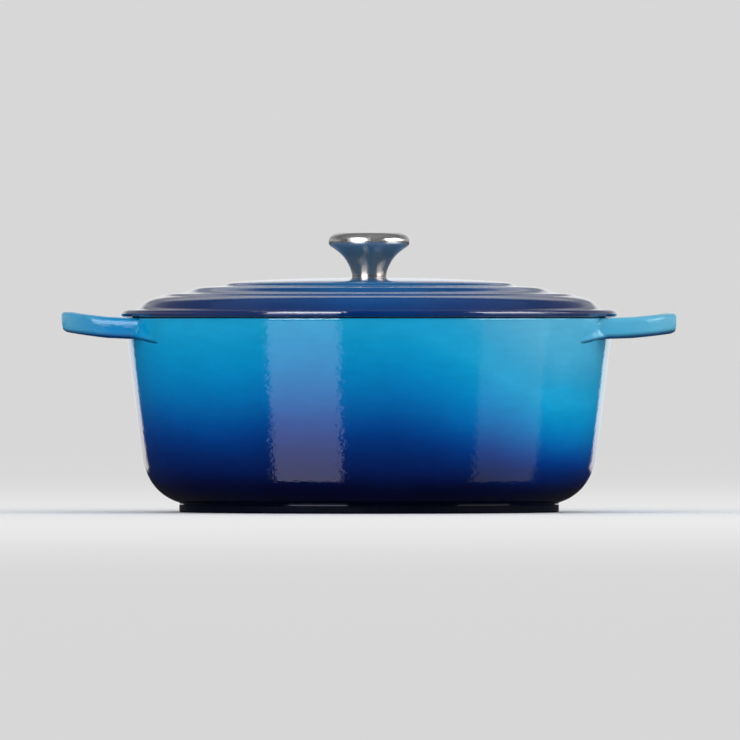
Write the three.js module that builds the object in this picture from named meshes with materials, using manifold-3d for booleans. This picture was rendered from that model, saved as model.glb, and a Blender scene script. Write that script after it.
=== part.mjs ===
// A round enamelled cast iron dutch oven with a lift-off lid, in millimetres, +Z up.
// The origin is the middle of the flat the pot stands on. The two side handles lie along X.
import * as THREE from "three";
import { mergeVertices } from "three/addons/utils/BufferGeometryUtils.js";
import Module from "manifold-3d";

const wasm = await Module();
wasm.setup();

const degree = Math.PI / 180;

// Gap left between two pieces that touch on the real object.
const gap = 0.3;

// ---- Pot casting ----
const rimRadius = 139.4; // outside of the pot at its rim
const potHeight = 111; // rim above the ground
const wallLean = 7 * degree; // the wall opens out upwards by this much
const wallThickness = 3.3;
const rimRounding = 1.2;
const cornerRadius = 30; // outside, where the wall turns under the pot
const insideCornerRadius = 30;
const cornerLift = 4; // lowest point of the outside corner above the ground
const footReach = 8.6; // the foot stands this far outside the middle of the corner's arc
const footRounding = 1;
const footLand = 11; // width of the ring that the pot stands on
const footRecess = 1.2; // the underside inside that ring
const recessSlope = 2; // width of the step up to the recess
const floorThickness = 3.9;

// ---- Loop handles, cast in one with the pot ----
const handleReach = 36.3; // from the rim out to the handle's end
const handleThickness = 11.6;
const handleRise = 2.9; // the handle's end is this much higher than its root
const handleBar = 16; // width of the loop's bar, seen from above
const handleHalfWidth = 47; // half of the loop's width at its far corners
const handleCorner = 26; // outside radius of those corners, seen from above
const handleFlare = 11 * degree; // the arms spread towards the pot
const handleEdge = 3.4; // rounding of the bar's edges
const handleDrop = 0.3; // top of the handle's root below the rim
const rootReach = 12; // the bar thickens over this distance from the wall
const rootWidening = 5; // on each side, at the wall
const rootDeepening = 4; // below, at the wall
const rootDepth = 28; // the bar runs on this far inside the rim, to be cut off within the wall

// ---- Lid casting ----
const flangeOverhang = 2.1; // the flange reaches this far past the pot's rim
const flangeThickness = 3.8;
const flangeRounding = 1.5;
const flangeLand = 10.9; // from the flange's edge to the foot of the dome
const shoulderFillet = 3; // width of the curve from the flange up into the dome
const lidThickness = 3.8;
const lipClearance = 1.2; // between the lid's lip and the inside of the pot's rim
const lipWidth = 3.6;
const lipDepth = 1.6;
const lugCount = 3;
const lugDepth = 3.6; // locating lugs below the flange's underside
const lugLength = 14;
const lugWidth = 2.4;
const bossRadius = 13; // flat seat under the knob
const bossLift = 0.2;
const padRadius = 12; // flat pad for the washers, inside the dome
const padDrop = 0.8;

// The dome's outside: distance from the axis as a share of its foot's, height above the flange.
const domeStations = [
  [1, 1.2], [0.989, 2.9], [0.973, 4.8], [0.949, 6.5], [0.921, 7.7], [0.904, 8.2], [0.886, 9.2],
  [0.825, 9.6], [0.804, 10.2], [0.778, 11.3], [0.752, 12.8], [0.72, 13.4], [0.637, 13.9],
  [0.624, 14.9], [0.611, 15.5], [0.551, 16.5], [0.441, 17.4], [0.336, 18], [0.188, 18.4],
];
// Its underside has no rings: the same two numbers, before the casting's thickness is taken off.
const undersideStations = [
  [0.985, 2.8], [0.969, 5.4], [0.946, 7], [0.904, 8.3], [0.842, 9.4], [0.766, 11.6],
  [0.689, 13.2], [0.613, 15], [0.536, 16.2], [0.383, 17.4], [0.23, 18.2],
];

// ---- Knob and its fastening ----
const knobRadius = 23.5;
const knobHeight = 25.2;
const knobWall = 1.6;
const knobFootRadius = 9.8;
const coreClearance = 0.3; // between the knob's shell and its core
const coreWall = 4.4; // from the screw's thread to the outside of the core
const coreHeight = 15;
const screwRadius = 3; // M6
const threadClearance = 0.3;
const screwInCore = 11; // how far the screw reaches into the knob
const holeClearance = 0.6; // between the screw and the lid's hole
const screwHeadRadius = 6;
const screwHeadHeight = 3.6;
const slotWidth = 1.6;
const slotDepth = 1.6;
const flatWasherRadius = 9;
const flatWasherThickness = 1.2;
const springWasherRadius = 5.4;
const springWasherThickness = 1.6;
const springWasherSplit = 1.2;

// The knob's outside: distance from the axis and height, as shares of its widest radius and height.
const knobStations = [
  [0.434, 0.08], [0.455, 0.171], [0.494, 0.263], [0.54, 0.351], [0.604, 0.442], [0.698, 0.534],
  [0.83, 0.625], [0.94, 0.694], [0.99, 0.75], [1, 0.805], [0.985, 0.86], [0.93, 0.92], [0.86, 0.965],
  [0.77, 1],
];

// Segments round each kind of turned piece.
const roundLarge = 64;
const roundKnob = 40;
const roundSmall = 28;

// ---- Materials ----
const azureEnamel = new THREE.MeshStandardMaterial({ color: 0x1479b8, roughness: 0.15, metalness: 0 });
const indigoEnamel = new THREE.MeshStandardMaterial({ color: 0x1f3f86, roughness: 0.15, metalness: 0 });
const stainlessSteel = new THREE.MeshStandardMaterial({ color: 0xb9bcc0, roughness: 0.28, metalness: 1 });
const plainSteel = new THREE.MeshStandardMaterial({ color: 0x8d8f92, roughness: 0.4, metalness: 1 });

// ---- Helpers ----
const point = (r, z) => new THREE.Vector2(r, z);

// Points on an arc about (r, z), from one angle to the other, both ends included.
function arc(r, z, radius, from, to, steps) {
  const points = [];
  for (let i = 0; i <= steps; i++) {
    const angle = from + ((to - from) * i) / steps;
    points.push(point(r + radius * Math.cos(angle), z + radius * Math.sin(angle)));
  }
  return points;
}

// A profile of (distance from the axis, height) points turned about the Z axis.
function turned(profile, segments) {
  return new THREE.LatheGeometry(profile, segments).rotateX(Math.PI / 2);
}

// A closed ring's profile, which ends where it began.
function closedRing(profile) {
  return [...profile, profile[0].clone()];
}

function toSolid(geometry) {
  const bare = geometry.clone();
  bare.deleteAttribute("normal");
  bare.deleteAttribute("uv");
  const merged = mergeVertices(bare, 1e-4);
  const vertProperties = merged.attributes.position.array;
  const triVerts = new Uint32Array(merged.index.array);
  return new wasm.Manifold(new wasm.Mesh({ numProp: 3, vertProperties, triVerts }));
}

function toGeometry(solid) {
  const mesh = solid.getMesh();
  const geometry = new THREE.BufferGeometry();
  geometry.setAttribute("position", new THREE.BufferAttribute(new Float32Array(mesh.vertProperties), 3));
  geometry.setIndex(new THREE.BufferAttribute(new Uint32Array(mesh.triVerts), 1));
  geometry.computeVertexNormals();
  return geometry;
}

function named(name, geometry, material) {
  const mesh = new THREE.Mesh(geometry, material);
  mesh.name = name;
  return mesh;
}

// ---- Pot ----
// Outside of the leaning wall at a height.
const wallRadiusAt = (z) => rimRadius - (potHeight - z) * Math.tan(wallLean);

// Middle of an arc that is tangent to a line leaning like the wall and to a level at its lowest point.
function cornerMiddle(radius, lowest, inset) {
  const z = lowest + radius;
  const touch = z - radius * Math.sin(wallLean);
  return point(wallRadiusAt(touch) - inset - radius * Math.cos(wallLean), z);
}

const wallInset = wallThickness / Math.cos(wallLean);
const floorTop = footRecess + floorThickness;
const outerCorner = cornerMiddle(cornerRadius, cornerLift, 0);
const innerCorner = cornerMiddle(insideCornerRadius, floorTop, wallInset);
const footRadius = outerCorner.x + footReach;
const rimInside = rimRadius - wallInset;

// Outside of the pot from the foot's edge up to the rim, moved inwards by inset.
function outsideProfile(inset) {
  const start = -Math.acos(footReach / cornerRadius);
  return [
    ...arc(outerCorner.x, outerCorner.y, cornerRadius - inset, start, -wallLean, 8),
    point(wallRadiusAt(potHeight - rimRounding) - inset, potHeight - rimRounding),
  ];
}

function potBody() {
  const profile = [
    point(0, footRecess),
    point(footRadius - footLand - recessSlope, footRecess),
    point(footRadius - footLand, 0),
    ...arc(footRadius - footRounding, footRounding, footRounding, -Math.PI / 2, 0, 2),
    ...outsideProfile(0),
    ...arc(rimRadius - rimRounding, potHeight - rimRounding, rimRounding, Math.PI / 6, Math.PI / 2, 2),
    ...arc(rimInside + rimRounding, potHeight - rimRounding, rimRounding, Math.PI / 2, Math.PI, 3),
    ...arc(innerCorner.x, innerCorner.y, insideCornerRadius, -wallLean, -Math.PI / 2, 7),
    point(0, floorTop),
  ];
  return turned(profile, roundLarge);
}

// Stations along the middle of the loop's bar, on the +X side: where, and which way it runs.
function loopStations() {
  const middleX = rimRadius + handleReach - handleBar / 2;
  const turn = handleCorner - handleBar / 2;
  const turnX = middleX - turn;
  const turnY = handleHalfWidth - handleCorner;
  const half = [];
  const armEnd = point(turnX + turn * Math.sin(handleFlare), turnY + turn * Math.cos(handleFlare));
  for (const inside of [rootDepth, rootReach, rootReach * 0.4, 0]) {
    const x = rimRadius - inside;
    half.push({ x, y: armEnd.y + (armEnd.x - x) * Math.tan(handleFlare), heading: -handleFlare });
  }
  for (const p of arc(turnX, turnY, turn, Math.PI / 2 - handleFlare, 0, 6)) {
    half.push({ x: p.x, y: p.y, heading: Math.atan2(p.y - turnY, p.x - turnX) - Math.PI / 2 });
  }
  const mirrored = half.map(({ x, y, heading }) => ({ x, y: -y, heading: Math.PI - heading }));
  return [...half, ...mirrored.reverse()];
}

// One loop handle: a bar with rounded edges carried along those stations.
function loopHandle() {
  const top = potHeight - handleDrop;
  const positions = [];
  const stations = loopStations();
  for (const { x, y, heading } of stations) {
    const nearWall = Math.max(0, 1 - (Math.hypot(x, y) - rimRadius) / rootReach);
    const near = Math.min(nearWall, 1) ** 2;
    const lift = handleRise * Math.max(0, (x - rimRadius) / handleReach) ** 1.4;
    const halfWidth = handleBar / 2 + rootWidening * near;
    const halfHeight = (handleThickness + rootDeepening * near) / 2;
    const middle = top + lift - halfHeight;
    for (let corner = 0; corner < 4; corner++) {
      const signX = corner === 0 || corner === 3 ? 1 : -1;
      const signZ = corner < 2 ? 1 : -1;
      const rounded = arc(
        signX * (halfWidth - handleEdge), signZ * (halfHeight - handleEdge), handleEdge,
        (corner * Math.PI) / 2, ((corner + 1) * Math.PI) / 2, 2,
      );
      for (const p of rounded) {
        positions.push(x - p.x * Math.sin(heading), y + p.x * Math.cos(heading), middle + p.y);
      }
    }
  }
  return toSolid(tubeBetween(positions, positions.length / 3 / stations.length, stations.length));
}

// A closed body through rings of points that follow one another, with a flat cap on each end.
function tubeBetween(positions, around, rings) {
  const index = [];
  for (let ring = 0; ring < rings - 1; ring++) {
    for (let i = 0; i < around; i++) {
      const a = ring * around + i;
      const b = ring * around + ((i + 1) % around);
      index.push(a, b, a + around, b, b + around, a + around);
    }
  }
  const last = (rings - 1) * around;
  for (let i = 1; i < around - 1; i++) {
    index.push(0, i + 1, i);
    index.push(last, last + i, last + i + 1);
  }
  const geometry = new THREE.BufferGeometry();
  geometry.setAttribute("position", new THREE.Float32BufferAttribute(positions, 3));
  geometry.setIndex(index);
  return geometry;
}

function pot() {
  const halfWall = outsideProfile(wallThickness / 2);
  const top = potHeight + handleThickness * 2;
  const insideWall = [
    point(0, halfWall[0].y),
    ...halfWall,
    point(halfWall.at(-1).x, top),
    point(0, top),
  ];
  const cavity = toSolid(turned(insideWall, roundLarge));
  const right = loopHandle().subtract(cavity);
  const left = right.rotate([0, 0, 180]);
  return toGeometry(toSolid(potBody()).add(right).add(left));
}

// ---- Lid ----
const flangeBottom = potHeight + gap;
const flangeTop = flangeBottom + flangeThickness;
const flangeRadius = rimRadius + flangeOverhang;
const domeRadius = flangeRadius - flangeLand;
const lipOutside = rimInside - lipClearance;
const domeHeight = domeStations.at(-1)[1];
const bossTop = flangeTop + domeHeight + bossLift;
const padBottom = flangeTop + domeHeight - lidThickness - padDrop;
const holeRadius = screwRadius + holeClearance;

function lidCasting() {
  const outside = domeStations.map(([share, height]) => point(share * domeRadius, flangeTop + height));
  const inside = undersideStations
    .map(([share, height]) => point(share * domeRadius, flangeTop + height - lidThickness))
    .reverse();
  const edge = flangeRadius - flangeRounding;
  const profile = closedRing([
    point(holeRadius, padBottom),
    point(padRadius, padBottom),
    point(padRadius + padDrop * 2, padBottom + padDrop),
    ...inside,
    point(lipOutside - lipWidth, flangeBottom - lipDepth),
    point(lipOutside, flangeBottom - lipDepth),
    point(lipOutside + lipClearance / 4, flangeBottom),
    ...arc(edge, flangeBottom + flangeRounding, flangeRounding, -Math.PI / 2, 0, 3),
    ...arc(edge, flangeTop - flangeRounding, flangeRounding, 0, Math.PI / 2, 3),
    point(domeRadius + shoulderFillet, flangeTop),
    point(domeRadius + shoulderFillet / 2, flangeTop + shoulderFillet / 10),
    ...outside,
    point(bossRadius + 1, flangeTop + domeHeight),
    point(bossRadius, bossTop),
    point(holeRadius, bossTop),
  ]);
  let casting = toSolid(turned(profile, roundLarge));
  const lugRoot = flangeThickness / 2;
  for (let i = 0; i < lugCount; i++) {
    const lug = new THREE.BoxGeometry(lugWidth, lugLength, lugDepth + lugRoot);
    lug.translate(lipOutside - lipWidth / 2, 0, flangeBottom + (lugRoot - lugDepth) / 2);
    casting = casting.add(toSolid(lug.rotateZ(((i + 0.5) * 2 * Math.PI) / lugCount)));
  }
  return toGeometry(casting);
}

// ---- Knob ----
const knobBottom = bossTop + gap;
const tappedRadius = screwRadius + threadClearance;
const coreRadius = tappedRadius + coreWall;
const coreSocket = coreRadius + coreClearance;

// A line of points moved sideways by a distance, to the left of the way it runs.
function movedLeft(points, distance) {
  return points.map((p, i) => {
    const before = points[Math.max(i - 1, 0)];
    const after = points[Math.min(i + 1, points.length - 1)];
    const along = new THREE.Vector2().subVectors(after, before).normalize();
    return point(p.x - along.y * distance, p.y + along.x * distance);
  });
}

function knobShell() {
  const outside = knobStations.map(([r, h]) => point(r * knobRadius, knobBottom + h * knobHeight));
  const inside = movedLeft(outside, knobWall).slice(1, -1).reverse();
  return turned(
    [
      point(0, inside[0].y),
      ...inside,
      point(coreSocket, outside[1].y),
      point(coreSocket, knobBottom),
      point(knobFootRadius - 0.5, knobBottom),
      point(knobFootRadius, knobBottom + 0.5),
      ...outside,
      point(0, knobBottom + knobHeight),
    ],
    roundKnob,
  );
}

function knobCore() {
  const top = knobBottom + coreHeight;
  return turned(
    closedRing([
      point(tappedRadius + 0.5, knobBottom),
      point(coreRadius - 0.4, knobBottom),
      point(coreRadius, knobBottom + 0.4),
      point(coreRadius, top - 0.6),
      point(coreRadius - 0.6, top),
      point(tappedRadius, top),
      point(tappedRadius, knobBottom + 0.5),
    ]),
    roundSmall,
  );
}

// ---- Fastening, from the inside of the lid down ----
const flatWasherTop = padBottom - gap;
const springWasherTop = flatWasherTop - flatWasherThickness - gap;
const headTop = springWasherTop - springWasherThickness - gap;
const headBottom = headTop - screwHeadHeight;

function knobScrew() {
  const tip = knobBottom + screwInCore;
  const flat = 0.45; // share of the head's radius that is flat underneath
  const head = arc(0, 0, 1, -Math.acos(flat), 0, 4).map((p) =>
    point(p.x * screwHeadRadius, headTop + (p.y / Math.sqrt(1 - flat ** 2)) * screwHeadHeight),
  );
  const chamfer = screwRadius / 4;
  const profile = [
    point(0, headBottom),
    ...head,
    point(screwRadius, headTop),
    point(screwRadius, tip - chamfer),
    point(screwRadius - chamfer, tip),
    point(0, tip),
  ];
  const slot = new THREE.BoxGeometry(screwHeadRadius * 3, slotWidth, slotDepth * 2);
  slot.translate(0, 0, headBottom);
  return toGeometry(toSolid(turned(profile, roundSmall)).subtract(toSolid(slot)));
}

function washer(radius, hole, top, thickness) {
  return turned(
    closedRing([
      point(hole, top - thickness),
      point(radius, top - thickness),
      point(radius, top),
      point(hole, top),
    ]),
    roundSmall,
  );
}

function springWasher() {
  const ring = toSolid(washer(springWasherRadius, tappedRadius, springWasherTop, springWasherThickness));
  const split = new THREE.BoxGeometry(springWasherRadius * 2, springWasherSplit, springWasherThickness * 4);
  split.rotateX(35 * degree).translate(springWasherRadius, 0, springWasherTop - springWasherThickness / 2);
  return toGeometry(ring.subtract(toSolid(split)));
}

// ---- Assembly ----
const dutchOven = new THREE.Group();
dutchOven.name = "dutch_oven";

const potGroup = new THREE.Group();
potGroup.add(named("pot", pot(), azureEnamel));

const lidGroup = new THREE.Group();
lidGroup.add(
  named("lid", lidCasting(), indigoEnamel),
  named("knob_shell", knobShell(), stainlessSteel),
  named("knob_core", knobCore(), plainSteel),
  named("flat_washer", washer(flatWasherRadius, tappedRadius, flatWasherTop, flatWasherThickness), plainSteel),
  named("spring_washer", springWasher(), plainSteel),
  named("knob_screw", knobScrew(), plainSteel),
);

dutchOven.add(potGroup, lidGroup);

export default dutchOven;
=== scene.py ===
from math import cos, pi, radians, sin, tan

import bpy
import numpy as np
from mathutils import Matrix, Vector


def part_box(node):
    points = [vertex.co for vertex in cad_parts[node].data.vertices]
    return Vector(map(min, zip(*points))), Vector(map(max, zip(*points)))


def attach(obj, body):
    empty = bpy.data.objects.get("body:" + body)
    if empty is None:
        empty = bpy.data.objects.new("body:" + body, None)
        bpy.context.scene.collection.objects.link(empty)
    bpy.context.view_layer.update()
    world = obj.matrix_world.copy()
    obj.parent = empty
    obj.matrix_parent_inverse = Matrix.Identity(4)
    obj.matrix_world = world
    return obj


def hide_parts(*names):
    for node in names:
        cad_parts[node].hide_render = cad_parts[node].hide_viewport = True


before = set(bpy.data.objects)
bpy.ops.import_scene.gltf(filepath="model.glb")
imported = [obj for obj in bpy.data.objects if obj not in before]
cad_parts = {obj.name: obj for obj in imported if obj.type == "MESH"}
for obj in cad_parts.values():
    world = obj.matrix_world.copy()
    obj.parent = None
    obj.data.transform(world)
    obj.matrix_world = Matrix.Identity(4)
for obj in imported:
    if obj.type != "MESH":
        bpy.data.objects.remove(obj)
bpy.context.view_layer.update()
print("frame loaded")

mm = 0.001
around = 216  # columns round every large turned piece
knobAround = 128

# Sizes are in millimetres. The outermost ones come from the frame.
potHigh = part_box("pot")[1]
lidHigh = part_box("lid")[1]
knobLow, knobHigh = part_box("knob_shell")
rimRadius = potHigh.y / mm
handleEnd = potHigh.x / mm
flangeRadius = lidHigh.y / mm
lidTop = lidHigh.z / mm
knobBottom = knobLow.z / mm
knobTop = knobHigh.z / mm
knobRadius = knobHigh.y / mm


def arcLine(r, z, radius, start, end, count):
    # (r + radius cos a, z + radius sin a) for count angles a from start to end, in degrees.
    angle = np.radians(np.linspace(start, end, count))
    return np.stack([r + radius * np.cos(angle), z + radius * np.sin(angle)], 1)


def straightLine(first, last, count):
    # Evenly spaced points from first to last, both included.
    return np.linspace(first, last, count)


def softened(points, rounds):
    # Corner cutting: each round puts two points on each span, a quarter from its ends.
    line = np.asarray(points, float)
    for _ in range(rounds):
        near = 0.75 * line[:-1] + 0.25 * line[1:]
        far = 0.25 * line[:-1] + 0.75 * line[1:]
        middle = np.stack([near, far], 1).reshape(-1, line.shape[1])
        line = np.vstack([line[:1], middle, line[-1:]])
    return line


def evenly(points, count, sharpness=0.0):
    # The same line with count points, spaced evenly by (distance + sharpness x bend).
    step = np.linalg.norm(np.diff(points, axis=0), axis=1)
    heading = np.unwrap(np.arctan2(np.diff(points[:, 1]), np.diff(points[:, 0])))
    bend = np.abs(np.diff(heading, prepend=heading[0]))
    travelled = np.concatenate([[0], np.cumsum(step + sharpness * bend)])
    at = np.linspace(0, travelled[-1], count)
    return np.stack([np.interp(at, travelled, points[:, 0]), np.interp(at, travelled, points[:, 1])], 1)


def makePiece(name, vertices, faces, body, material):
    # A smooth mesh from points in millimetres and groups of faces. The faces are turned over if the
    # sum of a . (b x c) over their triangles, six times the volume, comes out negative.
    mesh = bpy.data.meshes.new(name)
    points = np.asarray(vertices, float) * mm
    volume = 0.0
    for group in faces:
        corners = points[group]
        for i in range(1, group.shape[1] - 1):
            volume += np.einsum("ij,ij->i", corners[:, 0], np.cross(corners[:, i], corners[:, i + 1])).sum()
    if volume < 0:
        faces = [group[:, ::-1] for group in faces]
    mesh.from_pydata(points.tolist(), [], [face for group in faces for face in group.tolist()])
    mesh.shade_smooth()
    mesh.materials.append(material)
    piece = bpy.data.objects.new(name, mesh)
    bpy.context.collection.objects.link(piece)
    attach(piece, body)
    return piece


def gridFaces(rows, columns, closedRows=False):
    # Four corners of every cell of a grid whose columns run right round.
    row = np.arange(rows if closedRows else rows - 1)[:, None]
    column = np.arange(columns)[None, :]
    here, after = row * columns, (row + 1) % rows * columns
    beside = (column + 1) % columns
    cells = [here + column, here + beside, after + beside, after + column]
    return np.stack([np.broadcast_to(c, (row.size, columns)) for c in cells], -1).reshape(-1, 4)


def turnedPiece(name, profile, body, material, columns=around, ring=False):
    # x = r cos a, y = r sin a for each point (r, z) of the profile; ends on the axis share one point.
    profile = np.asarray(profile, float)
    if ring:
        rows = profile[:-1] if np.allclose(profile[0], profile[-1]) else profile
    else:
        rows = profile[1:-1]
    angle = np.arange(columns) * 2 * pi / columns
    x = rows[:, :1] * np.cos(angle)
    y = rows[:, :1] * np.sin(angle)
    z = np.broadcast_to(rows[:, 1:], x.shape)
    vertices = np.stack([x, y, z], -1).reshape(-1, 3)
    faces = [gridFaces(len(rows), columns, ring)]
    if not ring:
        first, last = len(vertices), len(vertices) + 1
        vertices = np.vstack([vertices, [0, 0, profile[0, 1]], [0, 0, profile[-1, 1]]])
        column = np.arange(columns)
        beside = (column + 1) % columns
        top = (len(rows) - 1) * columns
        faces.append(np.stack([np.full(columns, first), beside, column], 1))
        faces.append(np.stack([np.full(columns, last), top + column, top + beside], 1))
    return makePiece(name, vertices, faces, body, material)


def srgb(r, g, b):
    # Linear colour from the usual 0 to 255 numbers.
    c = np.array([r, g, b]) / 255
    return (*np.where(c <= 0.04045, c / 12.92, ((c + 0.055) / 1.055) ** 2.4), 1.0)


class NodeMaker:
    # A material's nodes, made and joined one call at a time.
    def __init__(self, name):
        self.material = bpy.data.materials.new(name)
        self.material.use_nodes = True
        self.tree = self.material.node_tree
        self.shader = self.tree.nodes["Principled BSDF"]
        self.coords = self.node("ShaderNodeTexCoord").outputs["Object"]

    def node(self, kind, values=(), **settings):
        made = self.tree.nodes.new(kind)
        for key, value in settings.items():
            setattr(made, key, value)
        for key, value in dict(values).items():
            if isinstance(value, bpy.types.NodeSocket):
                self.tree.links.new(value, made.inputs[key])
            else:
                made.inputs[key].default_value = value
        return made

    def link(self, source, target):
        self.tree.links.new(source, self.shader.inputs[target])

    def noise(self, scale, detail=2.0, roughness=0.5, stretch=None):
        # A larger scale, per metre, is finer. A larger stretch squeezes the pattern along its axis.
        vector = self.coords
        if stretch:
            vector = self.node("ShaderNodeMapping", {"Vector": vector, "Scale": stretch}).outputs[0]
        values = {"Vector": vector, "Scale": scale, "Detail": detail, "Roughness": roughness}
        return self.node("ShaderNodeTexNoise", values).outputs["Fac"]

    def ranged(self, value, low, high, toLow, toHigh):
        # toLow + (toHigh - toLow) (value - low) / (high - low), held between toLow and toHigh.
        values = {"Value": value, "From Min": low, "From Max": high, "To Min": toLow, "To Max": toHigh}
        return self.node("ShaderNodeMapRange", values).outputs[0]

    def spread(self, value, toLow, toHigh):
        # Noise mostly lies between 0.3 and 0.7.
        return self.ranged(value, 0.3, 0.7, toLow, toHigh)

    def maths(self, operation, a, b=0.0):
        return self.node("ShaderNodeMath", {0: a, 1: b}, operation=operation).outputs[0]

    def ramp(self, value, stops):
        # Colour at value, straight between the stops on either side of it.
        made = self.node("ShaderNodeValToRGB", {"Fac": value})
        elements = made.color_ramp.elements
        while len(elements) > 1:
            elements.remove(elements[-1])
        for i, (position, color) in enumerate(stops):
            element = elements[0] if i == 0 else elements.new(position)
            element.position = position
            element.color = color
        return made.outputs["Color"]

    def mix(self, factor, a, b, blend="MIX"):
        # a (1 - factor) + b factor, or a times b when that is asked for.
        made = self.node("ShaderNodeMix", data_type="RGBA", blend_type=blend)
        for key, value in ((0, factor), (6, a), (7, b)):
            if isinstance(value, bpy.types.NodeSocket):
                self.tree.links.new(value, made.inputs[key])
            else:
                made.inputs[key].default_value = value
        return made.outputs[2]

    def bump(self, height, distance, normal=None):
        # Tilts the surface by the slope of height x distance, on top of an earlier normal.
        values = {"Height": height, "Distance": distance, "Strength": 1.0}
        if normal is not None:
            values["Normal"] = normal
        return self.node("ShaderNodeBump", values).outputs[0]


# What every enamel shares: a glassy coat over a casting that isn't quite even.
enamelCoat = {
    "ior": 1.52,
    "drift": 1.8,  # mm by which the colours wander up and down
    "driftScale": 16,
    "driftDetail": 3,
    "steady": 12,  # mm: below this height the colours are the same on either side
    "cloud": 0.08,  # how much of the dark tint the cloudiest parts take
    "cloudTint": (0.0, 0.0, 0.012, 1),
    "cloudNoise": (42, 4, 0.6),  # scale, detail and roughness
    "streak": (0.955, 1.04),  # darkest and lightest of the level streaks
    "streakNoise": (150, 3, 0.6),
    "streakStretch": (0.35, 0.35, 2.0),
    "glossScale": 300,
    # Waves in the coat, from wide to fine: scale, detail, roughness, upright squeeze, share of the ripple.
    "waves": [(30, 1.0, 0.3, 2.0, 1.8), (110, 2.0, 0.5, 2.4, 0.7), (300, 2.0, 0.55, 1.7, 0.95)],
}


def enamel(name, stops, low, high, ripple, roughness=(0.05, 0.10), specular=0.5,
           sideways=None, dim=None, sides=None, undersideShade=None):
    # Colour = ramp over (height + wander) from low to high, with the changes below laid over it in turn.
    coat = enamelCoat
    m = NodeMaker(name)
    x, _, height = m.node("ShaderNodeSeparateXYZ", {0: m.coords}).outputs
    away = m.maths("ABSOLUTE", x)
    drift = coat["drift"] * mm
    wander = m.spread(m.noise(coat["driftScale"], coat["driftDetail"]), -drift, drift)
    moved = m.maths("ADD", height, wander)
    if sideways:
        # The light colours reach further down to the right, where each height counts for more. What dim
        # gives counts against that towards the left; on the left loop it is painted shade.
        share = m.ranged(x, sideways["from"] * mm, sideways["to"] * mm, 0, 1)
        gained = m.maths("MULTIPLY", m.maths("POWER", share, sideways["power"]), sideways["gain"])
        if dim:
            less = m.ranged(x, dim["from"] * mm, dim["to"] * mm, dim["amount"], 0)
            gained = m.maths("SUBTRACT", gained, less)
        above = m.maths("MAXIMUM", m.maths("SUBTRACT", moved, coat["steady"] * mm), 0.0)
        moved = m.maths("ADD", moved, m.maths("MULTIPLY", above, gained))
    color = m.ramp(m.ranged(moved, low * mm, high * mm, 0, 1), stops)
    # Painted light: sides mixes a greyer tone in towards the far left and right, standing in for reflected
    # light.
    if sides:
        share = m.ranged(away, sides["from"] * mm, sides["to"] * mm, 0, sides["most"])
        color = m.mix(share, color, srgb(*sides["color"]))
    if undersideShade:
        # Painted shade: darker along the loops' lower edge, which rises towards their ends
        # and sinks along the fillets at their roots, into the crease under each root.
        out = m.ranged(away, rimRadius * mm, handleEnd * mm, 0, 1)
        lift = m.maths("MULTIPLY", m.maths("POWER", out, undersideShade["power"]), undersideShade["rise"] * mm)
        rootFrom, rootTo = undersideShade["root"]
        sink = m.ranged(away, rootFrom * mm, rootTo * mm, -undersideShade["sink"] * mm, 0)
        above = m.maths("SUBTRACT", m.maths("SUBTRACT", height, lift), sink)
        share = m.ranged(above, undersideShade["from"] * mm, undersideShade["to"] * mm, undersideShade["most"], 0)
        color = m.mix(share, color, srgb(*undersideShade["color"]))
    cloud = m.spread(m.noise(*coat["cloudNoise"]), 0, 1)
    color = m.mix(m.maths("MULTIPLY", cloud, coat["cloud"]), color, coat["cloudTint"])
    streak = m.spread(m.noise(*coat["streakNoise"], stretch=coat["streakStretch"]), *coat["streak"])
    grey = m.node("ShaderNodeCombineXYZ", {0: streak, 1: streak, 2: streak}).outputs[0]
    m.link(m.mix(1.0, color, grey, "MULTIPLY"), "Base Color")
    m.link(m.spread(m.noise(coat["glossScale"]), *roughness), "Roughness")
    m.shader.inputs["IOR"].default_value = coat["ior"]
    m.shader.inputs["Specular IOR Level"].default_value = specular
    normal = None
    for scale, detail, rough, squeeze, part in coat["waves"]:
        normal = m.bump(m.noise(scale, detail, rough, stretch=(1, 1, squeeze)), ripple * part, normal)
    m.link(normal, "Normal")
    return m.material


steelFinish = {
    "ringScale": 1900.0,
    "ringDetail": 3.0,
    "ringRoughness": 0.01,
    "smudgeNoise": (70, 4, 0.6),  # scale, detail and roughness
    "smudgeRange": (0.35, 0.75),  # where the smudges begin and are full
    "smudge": 0.25,  # how much of the darker tone they take
    "darker": 0.82,
    "coatRoughness": 0.07,
}


def steel(name, color, roughness, turning, metallic=1.0, coat=0.0, lower=None):
    # Noise over (distance from the axis, height) makes fine turned rings, broken up by smudges.
    finish = steelFinish
    m = NodeMaker(name)
    x, y, z = m.node("ShaderNodeSeparateXYZ", {0: m.coords}).outputs
    radius = m.maths("SQRT", m.maths("ADD", m.maths("MULTIPLY", x, x), m.maths("MULTIPLY", y, y)))
    place = m.node("ShaderNodeCombineXYZ", {0: radius, 1: z}).outputs[0]
    values = {"Vector": place, "Scale": finish["ringScale"], "Detail": finish["ringDetail"]}
    rings = m.node("ShaderNodeTexNoise", values).outputs["Fac"]
    smudge = m.noise(*finish["smudgeNoise"])
    uneven = m.spread(rings, -finish["ringRoughness"], finish["ringRoughness"])
    m.link(m.maths("ADD", m.spread(smudge, *roughness), uneven), "Roughness")
    dark = tuple(finish["darker"] * c for c in color[:3]) + (1,)
    base = m.mix(m.ranged(smudge, *finish["smudgeRange"], 0, finish["smudge"]), color, dark)
    # Painted light: lower tints the knob's lower part warm, offsetting the blue that it reflects from the
    # lid.
    if lower:
        base = m.mix(m.ranged(z, lower["from"] * mm, lower["to"] * mm, 1, 0), base, lower["color"])
    m.link(base, "Base Color")
    m.shader.inputs["Metallic"].default_value = metallic
    m.shader.inputs["Coat Weight"].default_value = coat
    m.shader.inputs["Coat Roughness"].default_value = finish["coatRoughness"]
    m.link(m.bump(rings, turning), "Normal")
    return m.material
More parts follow.
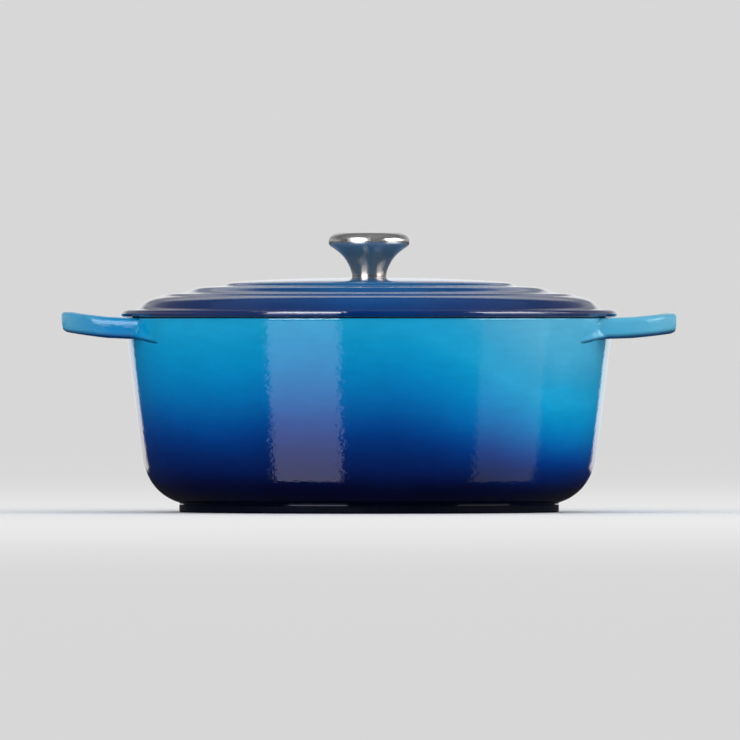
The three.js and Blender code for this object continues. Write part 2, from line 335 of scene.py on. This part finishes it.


# Heights in millimetres and colours. The pot's go on past its rim, for the side where heights count for more.
# Its darkest colours, low down, are partly the glaze's own navy and partly painted shade.
potColors = {
    0: (2, 4, 20), 5.7: (2, 5, 34), 9: (3, 6, 44), 13.7: (4, 10, 50), 16: (4, 14, 58), 18.2: (4, 19, 67),
    25: (4, 30, 91), 34: (2, 43, 111), 43: (0, 59, 136), 52: (0, 80, 158), 62: (0, 105, 179),
    71: (0, 123, 193), 80: (0, 138, 203), 89: (3, 150, 210), 98: (8, 158, 214), 107: (24, 168, 220),
    123: (34, 168, 218), 140: (55, 170, 215), 158: (72, 177, 219), 186: (84, 182, 222),
    200: (92, 186, 224),
}
lidColors = {
    111: (2, 44, 104), 113.8: (4, 50, 112), 115.6: (8, 58, 124), 120.6: (12, 76, 142), 127: (12, 90, 154),
    134: (20, 108, 168),
}
sandColors = {0: (236, 226, 205), 134: (240, 231, 212)}
blackColors = {0: (1, 3, 14), 134: (10, 18, 30)}


def colorStops(colors):
    # (height - lowest) / (highest - lowest) and the linear colour for each height, then both ends.
    heights = sorted(colors)
    low, high = heights[0], heights[-1]
    return [((height - low) / (high - low), srgb(*colors[height])) for height in heights], low, high


lighter = {"from": 15, "to": 106, "power": 1.6, "gain": 0.9}
azureEnamel = enamel(
    "azure_enamel", *colorStops(potColors), ripple=0.0001,
    sideways=lighter, dim={"from": -100, "to": -30, "amount": -0.04},
)
azureHandles = enamel(
    "azure_handle_enamel", *colorStops(potColors), ripple=0.00006, roughness=(0.12, 0.18), specular=0.2,
    # dim here is painted shade: it darkens the left loop, the side in shade.
    sideways=lighter, dim={"from": -136, "to": -124, "amount": 0.24},
    # Painted reflection: the loops' ends are made lighter and greyer.
    sides={"from": 146, "to": 172, "color": (112, 180, 206), "most": 0.55},
    # Painted shade along the loops' undersides and in the creases at their roots.
    undersideShade={
        "from": 99.8, "to": 101.8, "rise": 3.6, "power": 1.4, "root": (119, 136), "sink": 4.0,
        "color": (2, 26, 84), "most": 0.85,
    },
)
indigoEnamel = enamel(
    "indigo_enamel", *colorStops(lidColors), ripple=0.00007,
    # Painted light: the lid turns greyer and purpler towards its left and right.
    sides={"from": 15, "to": 115, "color": (50, 56, 92), "most": 0.85},
)
sandEnamel = enamel("sand_enamel", *colorStops(sandColors), ripple=0.0001, roughness=(0.09, 0.16))
blackEnamel = enamel(
    "black_enamel", *colorStops(blackColors), ripple=0.0001, roughness=(0.6, 0.7), specular=0.04,
)
stainlessSteel = steel(
    "stainless_steel", (0.62, 0.62, 0.61, 1), roughness=(0.18, 0.24), turning=0.000002,
    metallic=0.78, coat=0.15,
    # Painted: this warm tint offsets the lid's blue reflected in the knob's lower part.
    lower={"from": 147, "to": 155, "color": (0.43, 0.37, 0.32, 1)},
)
platedSteel = steel("plated_steel", (0.52, 0.53, 0.55, 1), roughness=(0.28, 0.38), turning=0.00001)
print("materials made")


potShape = {
    "height": 111.0,
    "lean": 7.0,  # degrees
    "wall": 3.3,
    "corner": 30.0,
    "cornerLift": 4.0,
    "footReach": 8.6,
    "footRounding": 1.0,
    "land": 11.0,
    "recess": 1.2,
    "floor": 3.9,
    "footSkin": 4.3,  # height of the foot's bare ring
    "coat": 1.5,  # how deep each coat's closed shell reaches into the wall
    "rimBand": 0.35,  # how far the bare dark rim stands above the coats
    "rimDepth": 2.0,  # how far down the rim's own ring reaches
    "lipRounding": 0.8,
    "rimSides": (0.9, 1.2),  # how far that ring's sides stand in from the rim's, at its top and bottom
    "skinMiddle": 2.6,  # height about which the foot's ring is made smaller for its back
    "skinIn": 2.2,  # how far inward of the land that ring reaches
    "skin": 0.8,  # its back's share of its size
    "beneath": 0.94,  # the same share for the outside beneath it
}


def wallRadius(z):
    # Rim radius - (height of the rim - z) x tangent of the lean.
    return rimRadius - (potShape["height"] - z) * tan(radians(potShape["lean"]))


def cornerMiddle(radius, lowest, inset):
    # Middle of the corner's arc that touches the height lowest and runs into the wall moved in by inset.
    lean = radians(potShape["lean"])
    z = lowest + radius
    return wallRadius(z - radius * sin(lean)) - inset - radius * cos(lean), z


def potOutsideLine():
    # From the middle of the underside out, round the foot and the corner, and up to the rim.
    p = potShape
    r, z = cornerMiddle(p["corner"], p["cornerLift"], 0)
    foot = r + p["footReach"]
    start = -np.degrees(np.arccos(p["footReach"] / p["corner"]))
    crease = z + p["corner"] * sin(radians(start))
    edge = p["footRounding"]
    top = p["height"] - p["rimBand"]
    underside = softened([
        (0, p["recess"]), (foot - p["land"] - 8, p["recess"]), (foot - p["land"] - 3, p["recess"]),
        (foot - p["land"] - 1, 0.15), (foot - p["land"] + 1, 0), (foot - edge - 1, 0),
    ], 3)
    side = softened([
        (foot, edge + 0.1), (foot, crease - 0.9), (foot + 0.15, crease + 0.05), (foot + 1.4, crease + 0.45),
    ], 3)
    corner = arcLine(r, z, p["corner"], start + 4.5, -p["lean"], 44)
    lipLow = top - p["lipRounding"]
    wall = straightLine(corner[-1], (wallRadius(lipLow), lipLow), 40)
    lip = arcLine(wallRadius(lipLow) - p["lipRounding"], lipLow, p["lipRounding"], -p["lean"], 90, 8)
    return np.vstack([
        underside, arcLine(foot - edge, edge, edge, -88, 0, 8), side[1:], corner, wall[1:], lip[1:],
    ])


def potInsideLine(inset):
    # From the rim down the inside and in to the middle of the floor.
    p = potShape
    wall = p["wall"] / cos(radians(p["lean"]))
    floor = p["recess"] + p["floor"]
    r, z = cornerMiddle(p["corner"], floor, wall)
    radius = p["corner"] + inset
    corner = arcLine(r, z, radius, -p["lean"], -90, 40)
    top = p["height"] - p["rimBand"]
    edge = wallRadius(top) - wall + inset
    middle = [(60, floor - inset), (0, floor - inset)]
    return np.vstack([straightLine((edge, top), corner[0], 40)[:-1], corner, middle])


outside = potOutsideLine()
insideFace = potInsideLine(0)
coat = potShape["coat"]
outsideBack = potInsideLine(potShape["wall"] - coat)
# The foot's bare ring is a skin round the outside's lowest part, which is drawn in a little beneath it.
footRadius = cornerMiddle(potShape["corner"], potShape["cornerLift"], 0)[0] + potShape["footReach"]
footMiddle = np.array([footRadius - potShape["land"] / 2, potShape["skinMiddle"]])
footInner = footRadius - potShape["land"] - potShape["skinIn"]
inFoot = (outside[:, 0] > footInner) & (outside[:, 1] < potShape["footSkin"])
footLine = outside[inFoot]
footBack = footMiddle + potShape["skin"] * (footLine - footMiddle)
footPiece = np.vstack([footLine, footBack[::-1], footLine[:1]])
potFoot = turnedPiece("pot_foot", footPiece, "pot", blackEnamel, ring=True)
outside[inFoot] = footMiddle + potShape["beneath"] * (footLine - footMiddle)
potOutside = turnedPiece("pot_outside", np.vstack([outside, outsideBack]), "pot", azureEnamel)
insideBack = potInsideLine(coat)
potInside = turnedPiece("pot_inside", np.vstack([insideBack[::-1], insideFace]), "pot", sandEnamel)

rimInside = rimRadius - potShape["wall"] / cos(radians(potShape["lean"]))
rimTop = potShape["height"]
bandLow = rimTop - potShape["rimDepth"]
inTop, inLow = potShape["rimSides"]
rimLine = softened([
    (rimRadius - inLow, bandLow), (rimRadius - inTop, rimTop - 0.5), (rimRadius - inTop, rimTop),
    (rimInside + inTop, rimTop), (rimInside + inTop, rimTop - 0.5), (rimInside + inLow, bandLow),
    (rimRadius - inLow, bandLow),
], 3)
potRim = turnedPiece("pot_rim", rimLine, "pot", blackEnamel, ring=True)
print("pot made")


handleShape = {
    "bar": 16.0,
    "thickness": 11.4,
    "rise": 3.6,  # the loops' ends stand this much higher than their roots
    "risePower": 1.4,
    "leftRise": 1.0,  # and the left one this much more
    "drop": 0.35,
    "halfWidth": 47.0,
    "corner": 30.0,
    "flare": 11.0,  # degrees
    "edge": (3.8, 2.1, 2.7),  # roundings: across and up at the top, both ways at the bottom
    "crown": 0.35,
    "draft": 0.02,  # share by which the bar narrows from its top to its middle, and again to its bottom
    "bow": 1.2,  # the loop's end stands out this much more in its middle
    "fillet": (9.0, 6.0),  # along the wall outside the loop and inside it
    "filletDown": 0.6,  # down the wall everywhere under the bar
    "filletCorner": 2.9,  # the fillet runs out to a point at the bar's lower corners, over this size
    "filletPoint": (18.0, 2.7),  # how far that point runs along the wall, outside the loop and inside it
    "filletBelow": (4.2, 0.42),  # and how far down
    "filletLeave": 0.3,  # how soon it leaves the bar, as a share of its reach
    "filletLeast": 0.4,
    "filletPower": 1.5,  # how quickly it grows from the bar's middle to its sides
    "filletFlat": 0.85,  # none where the bar's surface faces up by this share or more
    "landed": 0.04,  # how deep under the wall's surface it ends
    "sunk": 1.3,  # how deep the root's own end goes into the wall
}


def barSection():
    # A rounded rectangle: places across and up, and outward directions. Each side swells by
    # crown x (1 - share of the way to its end, squared), and the width is then multiplied
    # by 1 - draft x (1 - up / half the thickness).
    h = handleShape
    a, b = h["bar"] / 2, h["thickness"] / 2
    wide, high, low = h["edge"]
    corners = []
    for sx, sz, start in ((1, 1, 0), (-1, 1, 90), (-1, -1, 180), (1, -1, 270)):
        ex, ez = (wide, high) if sz > 0 else (low, low)
        corners.append(arcLine(0, 0, 1, start, start + 90, 10) * (ex, ez) + (sx * (a - ex), sz * (b - ez)))
    line = []
    for corner, following in zip(corners, corners[1:] + corners[:1]):
        line += [corner, straightLine(corner[-1], following[0], 8)[1:-1]]
    line = np.vstack(line)
    across, up = line[:, 0], line[:, 1]
    up = up + h["crown"] * (1 - (across / a) ** 2) * np.sign(up) * (np.abs(up) > b - 0.01)
    swell = h["crown"] * (1 - (up / b).clip(-1, 1) ** 2)
    across = across + swell * np.sign(across) * (np.abs(across) > a - 0.01)
    ahead = np.roll(np.stack([across, up], 1), -1, 0) - np.roll(np.stack([across, up], 1), 1, 0)
    outward = np.stack([ahead[:, 1], -ahead[:, 0]], 1)
    across = across * (1 - h["draft"] * (1 - up / b))
    return across, up, outward / np.linalg.norm(outward, axis=1)[:, None]


def handleLift(x):
    # Share of the way from the rim to the loop's end, to the power that bends it up.
    share = ((x - rimRadius) / (handleEnd - rimRadius)).clip(0, 1)
    return share ** handleShape["risePower"]


def handlePoints(x, y, alongX, alongY, across, up):
    # A section's points where the bar's middle is at (x, y) and runs towards (alongX, alongY):
    # (x - alongY across, y + alongX across, middle height + up + rise x lift).
    h = handleShape
    px = x - alongY * across
    py = y + alongX * across
    middle = potShape["height"] - h["drop"] - h["crown"] - h["thickness"] / 2
    return np.stack([px, py, middle + up + h["rise"] * handleLift(px)], -1)


def besideWall(points):
    # Bearing, height and distance from the axis less the wall's radius at that height.
    x, y, z = points.T
    return np.stack([np.arctan2(y, x), z, np.hypot(x, y) - wallRadius(z)], 1)


def filletPoints(across, up, outward, armPoints, near):
    # From the bar to the wall: (1-s)^2 leaving + 2s(1-s) meeting + s^2 landing, where meeting is the place
    # at which the bar would run into the wall. It is worked out beside the wall, so it never dips under it.
    h = handleShape
    meeting = armPoints(near)
    topShare = (outward[:, 1] / h["filletFlat"]).clip(0, 1)
    keep = 1 - topShare ** 2 * (3 - 2 * topShare)
    edge = h["bar"] / 2
    fromCorner = np.hypot(np.abs(across) - edge, up + h["thickness"] / 2)
    corner = np.exp(-(fromCorner / h["filletCorner"]) ** 2)
    outer, inner = [(side * across / edge).clip(0, 1) ** h["filletPower"] for side in (1, -1)]
    sideReach = (h["fillet"][0] * outer + h["fillet"][1] * inner) * keep
    sideReach += corner * np.where(across > 0, *h["filletPoint"])
    downReach = h["filletDown"] * (-outward[:, 1]).clip(0, 1)
    downReach = downReach + corner * np.where(across > 0, *h["filletBelow"])
    leave = np.hypot(h["filletLeave"] * sideReach, downReach)
    leaving = armPoints(near - np.maximum(leave, h["filletLeast"]))
    bearing = np.arctan2(meeting[:, 1], meeting[:, 0])
    sideways = np.stack([-np.sin(bearing), np.cos(bearing)], 1) * (np.sign(across) * sideReach)[:, None]
    landing = meeting + np.column_stack([sideways, -downReach])
    landing[:, 2] = np.minimum(landing[:, 2], potShape["height"] - h["drop"])
    scale = (wallRadius(landing[:, 2]) - h["landed"]) / np.hypot(landing[:, 0], landing[:, 1])
    landing[:, :2] *= scale[:, None]
    share = np.linspace(0, 1, 19)[:, None, None]
    fillet = (1 - share) ** 2 * besideWall(leaving) + share ** 2 * besideWall(landing)
    fillet = fillet + 2 * share * (1 - share) * besideWall(meeting)
    reach = wallRadius(fillet[..., 1]) + fillet[..., 2]
    fillet = np.stack([reach * np.cos(fillet[..., 0]), reach * np.sin(fillet[..., 0]), fillet[..., 1]], -1)
    sunk = landing.copy()
    reach = np.hypot(landing[:, 0], landing[:, 1])
    sunk[:, :2] *= ((reach - h["sunk"]) / reach)[:, None]
    return leaving, np.concatenate([fillet, sunk[None]])


def loopHandle(name, side):
    # The bar's section carried along half a plan (straight arm, corner, end) and then along its mirror.
    h = handleShape
    across, up, outward = barSection()
    turn = h["corner"] - h["bar"] / 2
    middleX = handleEnd - h["bar"] / 2 - h["crown"]
    turnX, turnY = middleX - turn, h["halfWidth"] - h["corner"]
    angle = np.radians(np.linspace(90 - h["flare"], 0, 26))
    plan = np.stack([turnX + turn * np.cos(angle), turnY + turn * np.sin(angle)], 1)
    end = straightLine((middleX, turnY), (middleX, -turnY), 24)[1:-1]
    plan = np.vstack([plan, end, plan[::-1] * (1, -1)])
    plan[:, 0] -= h["bow"] * (np.abs(plan[:, 1]) / h["halfWidth"]) ** 2
    run = np.gradient(plan, axis=0)
    run /= np.linalg.norm(run, axis=1)[:, None]
    rings = handlePoints(plan[:, :1], plan[:, 1:], run[:, :1], run[:, 1:], across, up)
    startX, startY = plan[0]
    flare = radians(h["flare"])
    backX, backY = -cos(flare), sin(flare)

    def armPoints(distance):
        # The arm runs straight back from the first ring.
        return handlePoints(startX + backX * distance, startY + backY * distance, -backX, -backY, across, up)

    # How far back each point meets the wall, by halving a span that is sure to hold it.
    near, far = np.zeros(len(across)), np.full(len(across), 60.0)
    for _ in range(40):
        half = (near + far) / 2
        p = armPoints(half)
        outsideWall = np.hypot(p[:, 0], p[:, 1]) > wallRadius(p[:, 2])
        near, far = np.where(outsideWall, half, near), np.where(outsideWall, far, half)
    leaving, fillet = filletPoints(across, up, outward, armPoints, near)
    share = np.linspace(0, 1, 12)[1:-1, None, None]
    first = armPoints(near * 0)
    root = np.concatenate([first + (leaving - first) * share, fillet])
    whole = np.concatenate([root[::-1], rings, root * (1, -1, 1)])
    columns = len(across)
    vertices = whole.reshape(-1, 3) * (side, side, 1)
    vertices[:, 2] += (h["leftRise"] if side < 0 else 0) * handleLift(np.abs(vertices[:, 0]))
    caps = [np.arange(columns)[None, ::-1], (len(whole) - 1) * columns + np.arange(columns)[None]]
    return makePiece(name, vertices, [gridFaces(len(whole), columns), *caps], "pot", azureHandles)


handleRight = loopHandle("handle_right", 1)
handleLeft = loopHandle("handle_left", -1)
print("handles made")


lidShape = {
    "flange": 3.8,
    "gap": 0.3,  # above the pot's rim
    "wall": 3.8,
    "domeRise": 18.4,  # the dome's top above the flange
    "boss": 13.0,
    "hole": 3.6,
    "pad": 12.0,
    "padDepth": 0.8,
    "lipClearance": 1.2,
    "lip": 3.6,
    "lipDepth": 1.6,
    "dome": 10.9,  # the underside's dome starts this far in from the edge
    "coat": 1.3,
    "outsideDepth": 1.5,  # how deep the outside's closed shell reaches into the casting
}
flangeBottom = potShape["height"] + lidShape["gap"]
flangeTop = flangeBottom + lidShape["flange"]

# Outside of the lid from its edge in to the knob's seat: in from the edge, up from the flange's top.
lidStations = [
    (3.6, 0.0), (5.6, 0.02), (7.6, 0.1), (9.2, 0.45), (10.6, 1.35), (12.0, 3.0), (13.6, 4.7), (15.6, 5.9),
    (18.2, 6.9), (21.0, 7.6), (23.2, 8.05), (24.2, 8.45), (25.2, 9.0), (26.6, 9.3), (30.0, 9.4), (33.4, 9.5),
    (35.6, 9.9), (38.2, 10.7), (40.8, 11.9), (42.4, 12.6), (44.6, 13.1), (49.0, 13.4), (55.0, 13.65),
    (57.6, 13.8), (58.9, 14.3), (60.1, 15.1), (61.6, 15.55), (65.0, 16.0), (70.0, 16.5), (77.0, 16.95),
    (84.0, 17.35), (98.0, 17.9), (112.0, 18.2), (122.0, 18.35), (126.0, 18.4),
]


def lidOutsideLine():
    # From the hole's edge out over the dome and round the flange to its underside.
    edge, boss = flangeRadius, lidShape["boss"]
    dome = [(edge - inward, flangeTop + up) for inward, up in lidStations][::-1]
    seat = [(lidShape["hole"], lidTop), (boss - 1.0, lidTop)]
    seat += [(boss + 0.4, lidTop - 0.02), (boss + 1.2, lidTop - 0.17)]
    rounding = lidShape["flange"] / 2
    rim = arcLine(edge - rounding, flangeBottom + rounding, rounding, 90, -90, 21)
    return np.vstack([softened(seat + dome, 3), rim, [(edge - 2.4, flangeBottom + 0.02)]])


def lidUnderLine(shift):
    # The underside from the flange in to the hole, moved up into the casting by shift.
    lipOut = rimInside - lidShape["lipClearance"]
    lipIn = lipOut - lidShape["lip"]
    lipLow = flangeBottom - lidShape["lipDepth"]
    base = flangeRadius - lidShape["dome"]
    stations = [
        (0.985, 2.8), (0.969, 5.4), (0.946, 7), (0.904, 8.3), (0.842, 9.4), (0.766, 11.6),
        (0.689, 13.2), (0.613, 15), (0.536, 16.2), (0.383, 17.4), (0.23, 18.2),
    ]
    dome = [(share * base, flangeTop + up - lidShape["wall"]) for share, up in stations]
    edge, low = lidShape["pad"], flangeTop + lidShape["domeRise"] - lidShape["wall"] - lidShape["padDepth"]
    pad = [(edge + 2.0, low + 0.75), (edge + 1.0, low + 0.1), (edge - 0.5, low), (lidShape["hole"], low)]
    line = softened([
        (lipOut + 0.3, flangeBottom), (lipOut + 0.1, flangeBottom - 0.6), (lipOut - 0.3, lipLow),
        (lipIn + 0.6, lipLow), (lipIn - 0.2, flangeBottom - 0.9), *dome, *pad,
    ], 3)
    return line + (0, shift)


lidLine = evenly(lidOutsideLine(), 250, 1.5)
lidUnder = lidUnderLine(0)
lidBack = lidUnderLine(lidShape["outsideDepth"])
outerRing = np.vstack([lidLine, [(flangeRadius - 4, flangeBottom + 1.0)], lidBack[::2], lidLine[:1]])
lidOutside = turnedPiece("lid_outside", outerRing, "lid", indigoEnamel, ring=True)
innerBack = lidUnderLine(lidShape["coat"])
innerRing = np.vstack([lidUnder, innerBack[::-2], lidUnder[:1]])
lidInside = turnedPiece("lid_inside", innerRing, "lid", sandEnamel, ring=True)
# The bare dark ring that rests on the rim.
bandLine = softened([
    (flangeRadius - 1.7, flangeBottom + 1.0), (flangeRadius - 1.9, flangeBottom + 0.1),
    (flangeRadius - 2.6, flangeBottom), (rimInside - 0.5, flangeBottom),
    (rimInside - 1.2, flangeBottom + 0.1), (rimInside - 1.2, flangeBottom + 1.0),
    (flangeRadius - 1.7, flangeBottom + 1.0),
], 3)
lidBand = turnedPiece("lid_band", bandLine, "lid", blackEnamel, ring=True)
print("lid made")


knobShape = {
    "lower": 0.25,  # closes most of the gap above the lid's boss
    "stations": [
        (0, 0), (9.6, 0), (9.88, 0.08), (9.92, 0.4), (9.93, 1.2), (10.05, 2.1), (10.3, 3.2), (10.75, 4.6),
        (11.4, 6.2), (12.3, 8.1), (13.5, 10.2), (15.1, 12.2), (17.3, 14.3), (19.9, 16.2), (21.9, 17.5),
        (23.1, 18.6), (23.62, 20.0), (23.5, 21.4), (22.7, 22.7), (21.2, 23.9), (19.4, 24.8), (17.8, 25.2),
        (15.0, 25.2), (6, 25.2), (0, 25.2),
    ],
}


def knobLine():
    # From the middle of the foot up the flare to the middle of the cap, each way multiplied by
    # the frame's size / the stations' size.
    line = softened(knobShape["stations"], 3)
    reach = line.max(0)
    seat = knobBottom - knobShape["lower"]
    return line * (knobRadius / reach[0], (knobTop - seat) / reach[1]) + (0, seat)


knob = turnedPiece("knob", knobLine(), "lid", stainlessSteel, columns=knobAround)
for node in ("knob_core", "flat_washer", "spring_washer", "knob_screw"):
    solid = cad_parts[node]
    solid.data.materials.clear()
    solid.data.materials.append(platedSteel)
print("knob made")

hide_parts("pot")
for piece in (potInside, potRim, potFoot, handleRight, handleLeft):
    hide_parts("pot")
for piece in (lidOutside, lidInside, lidBand):
    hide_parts("lid")
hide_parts("knob_shell")


# The studio: a pale floor, bright cards that only reflections see, soft lamps, an even sky and the camera.
studio = {
    "floorHalf": 40.0,  # metres
    "floorPaint": (0.87, 0.87, 0.87),
    "cardDistance": 10.0,
    "cardHeight": 0.08,  # of the point that the cards stand round
    "sky": {"diffuse": 0.78, "seen": 0.68, "mirrored": 0.02},
    "aim": (0, 0, 0.06),  # where the soft lamps point
    "cameraDistance": 12.0,
    "cameraHeight": 0.1085,
    "cameraSide": 0.0005,
    "viewMiddle": 0.081,  # height of the middle of the view
    "viewWidth": 0.4218,  # its width at the object
    "sensor": 36,
}


def plainMaterial(name, color, strength, fade=None):
    # Plain paint, or a plain light when there is a strength.
    material = bpy.data.materials.new(name)
    material.use_nodes = True
    tree = material.node_tree
    tree.nodes.clear()
    output = tree.nodes.new("ShaderNodeOutputMaterial")
    if strength:
        shader = tree.nodes.new("ShaderNodeEmission")
        shader.inputs["Strength"].default_value = strength
        if fade:
            # Full strength up to the first height and none from the second.
            coords = tree.nodes.new("ShaderNodeTexCoord")
            parts = tree.nodes.new("ShaderNodeSeparateXYZ")
            level = tree.nodes.new("ShaderNodeMapRange")
            level.interpolation_type = "SMOOTHSTEP"
            tree.links.new(coords.outputs["Object"], parts.inputs[0])
            tree.links.new(parts.outputs[2], level.inputs["Value"])
            ends = {"From Min": fade[0], "From Max": fade[1], "To Min": strength, "To Max": 0.0}
            for key, value in ends.items():
                level.inputs[key].default_value = value
            tree.links.new(level.outputs[0], shader.inputs["Strength"])
        material.cycles.emission_sampling = "NONE"
    else:
        shader = tree.nodes.new("ShaderNodeBsdfDiffuse")
    shader.inputs["Color"].default_value = (*color, 1)
    tree.links.new(shader.outputs[0], output.inputs[0])
    return material


def studioMesh(name, vertices, faces, material):
    # A mesh that belongs to the studio and not to the object.
    mesh = bpy.data.meshes.new(name)
    mesh.from_pydata(vertices, [], faces)
    mesh.materials.append(material)
    made = bpy.data.objects.new(name, mesh)
    bpy.context.collection.objects.link(made)
    return made


half = studio["floorHalf"]
floor = studioMesh(
    "floor", [(-half, -half, 0), (half, -half, 0), (half, half, 0), (-half, half, 0)], [(0, 1, 2, 3)],
    plainMaterial("floor_paint", studio["floorPaint"], 0),
)
floor.visible_glossy = False


def lightCard(name, directions, strength, fade=None, color=(1, 1, 1)):
    # A curved bright card: its points are direction x distance from the object, and it fades out
    # between two heights in degrees.
    distance = studio["cardDistance"]
    rows, columns = directions.shape[:2]
    vertices = (directions.reshape(-1, 3) * distance + (0, 0, studio["cardHeight"])).tolist()
    cell = np.arange((rows - 1) * columns).reshape(rows - 1, columns)[:, :-1].ravel()
    faces = np.stack([cell, cell + 1, cell + columns + 1, cell + columns], 1).tolist()
    heights = fade and [distance * sin(radians(angle)) for angle in fade]
    card = studioMesh(name, vertices, faces, plainMaterial(name + "_light", color, strength, heights))
    card.visible_camera = False
    card.visible_diffuse = False
    card.visible_shadow = False
    card.visible_transmission = False


def skyPatch(azimuths, elevations, columns=24, rows=12):
    # (cos e sin a, -cos e cos a, sin e) for bearings a, 0 at the camera's side, and heights e, in degrees.
    azimuth = np.radians(np.linspace(*azimuths, columns))[None, :]
    elevation = np.radians(np.linspace(*elevations, rows))[:, None]
    level = np.cos(elevation)
    up = np.broadcast_to(np.sin(elevation), (rows, columns))
    return np.stack([level * np.sin(azimuth), -level * np.cos(azimuth), up], -1)


def mirrorPatch(bearings, tilts, columns=12, rows=12):
    # d - 2 (d . n) n: where the camera's level look d goes on to from surfaces that face n.
    facing = skyPatch(bearings, tilts, columns, rows)
    view = np.array([0.0, 1.0, 0.0])
    return view - 2 * (facing @ view)[..., None] * facing


warm, cool, plain = (1, 0.93, 0.84), (1.0, 0.97, 1.4), (1, 1, 1)
for name, directions, strength, fade, color in (
    ("card_left", mirrorPatch((-24.7, -7.0), (-31.4, -3)), 1.35, None, cool),
    ("card_right", mirrorPatch((27.5, 47), (-32, -3)), 0.45, None, plain),
    ("lamp_left", skyPatch((-49, -13), (1, 46)), 16, None, plain),
    ("lamp_left_high", skyPatch((-75, -16), (46, 68)), 4.5, None, plain),
    ("lamp_right", skyPatch((54, 110), (4, 42)), 11, None, plain),
    ("card_back_low", skyPatch((164, 196), (-5, 14)), 1.0, (8, 17), plain),
    ("card_back_middle", skyPatch((164, 196), (14, 20)), 0.42, None, plain),
    ("card_back", skyPatch((164, 196), (20, 40)), 0.75, (27, 40), plain),
    ("card_edge_left", skyPatch((196, 204), (-7, 4)), 1.3, None, warm),
    ("card_edge_right", skyPatch((156, 164), (-7, 4)), 1.3, None, warm),
    ("card_side_left", skyPatch((196, 204), (4, 46)), 0.7, (8, 42), plain),
    ("card_side_right", skyPatch((156, 164), (4, 46)), 0.7, (8, 42), plain),
    ("card_low_left", skyPatch((204, 270), (-1, 46)), 0.45, (8, 44), plain),
    ("card_low_right", skyPatch((90, 156), (-1, 46)), 0.45, (8, 44), plain),
    ("card_back_high", skyPatch((90, 270), (46, 70)), 0.1, None, plain),
    ("card_top", skyPatch((0, 360), (70, 90)), 0.15, None, plain),
):
    lightCard(name, directions, strength, fade, color)


def areaLight(name, place, size, watts):
    # A soft lamp turned to the object.
    light = bpy.data.lights.new(name, "AREA")
    light.shape = "RECTANGLE"
    light.size, light.size_y = size
    light.energy = watts
    made = bpy.data.objects.new(name, light)
    made.location = place
    made.rotation_euler = (Vector(studio["aim"]) - Vector(place)).to_track_quat("-Z", "Y").to_euler()
    bpy.context.collection.objects.link(made)
    made.visible_glossy = False


areaLight("light_left", (-1.4, -1.4, 1.0), (0.9, 1.2), 4)
areaLight("light_right", (1.8, -0.5, 0.7), (0.8, 0.6), 7)
areaLight("light_top", (0.0, 0.3, 1.9), (1.6, 1.6), 3)

# An even sky, of one strength for soft light, another behind the object and hardly any in reflections.
world = bpy.data.worlds.new("studio")
bpy.context.scene.world = world
world.use_nodes = True
tree = world.node_tree
background = tree.nodes["Background"]
path = tree.nodes.new("ShaderNodeLightPath")
sky = studio["sky"]


def switched(test, low, high):
    # low where the test is 0 and high where it is 1.
    level = tree.nodes.new("ShaderNodeMapRange")
    for name, value in (("Value", test), ("To Min", low), ("To Max", high)):
        if isinstance(value, bpy.types.NodeSocket):
            tree.links.new(value, level.inputs[name])
        else:
            level.inputs[name].default_value = value
    return level.outputs[0]


level = switched(path.outputs["Is Glossy Ray"], sky["diffuse"], sky["mirrored"])
level = switched(path.outputs["Is Camera Ray"], level, sky["seen"])
tree.links.new(level, background.inputs["Strength"])
background.inputs["Color"].default_value = (1, 1, 1, 1)

bpy.context.scene.view_settings.view_transform = "Standard"

# A long lens from far off, level. Lens = sensor x distance / width of the view; the shift moves the view's
# middle down from the camera's height, as a share of that width.
camera = bpy.data.cameras.new("camera")
camera.sensor_width = studio["sensor"]
camera.lens = studio["sensor"] * studio["cameraDistance"] / studio["viewWidth"]
camera.shift_y = (studio["viewMiddle"] - studio["cameraHeight"]) / studio["viewWidth"]
camera.clip_end = 200
cameraObject = bpy.data.objects.new("camera", camera)
cameraObject.location = (studio["cameraSide"], -studio["cameraDistance"], studio["cameraHeight"])
cameraObject.rotation_euler = (pi / 2, 0, 0)
bpy.context.collection.objects.link(cameraObject)
bpy.context.scene.camera = cameraObject
print("studio made")
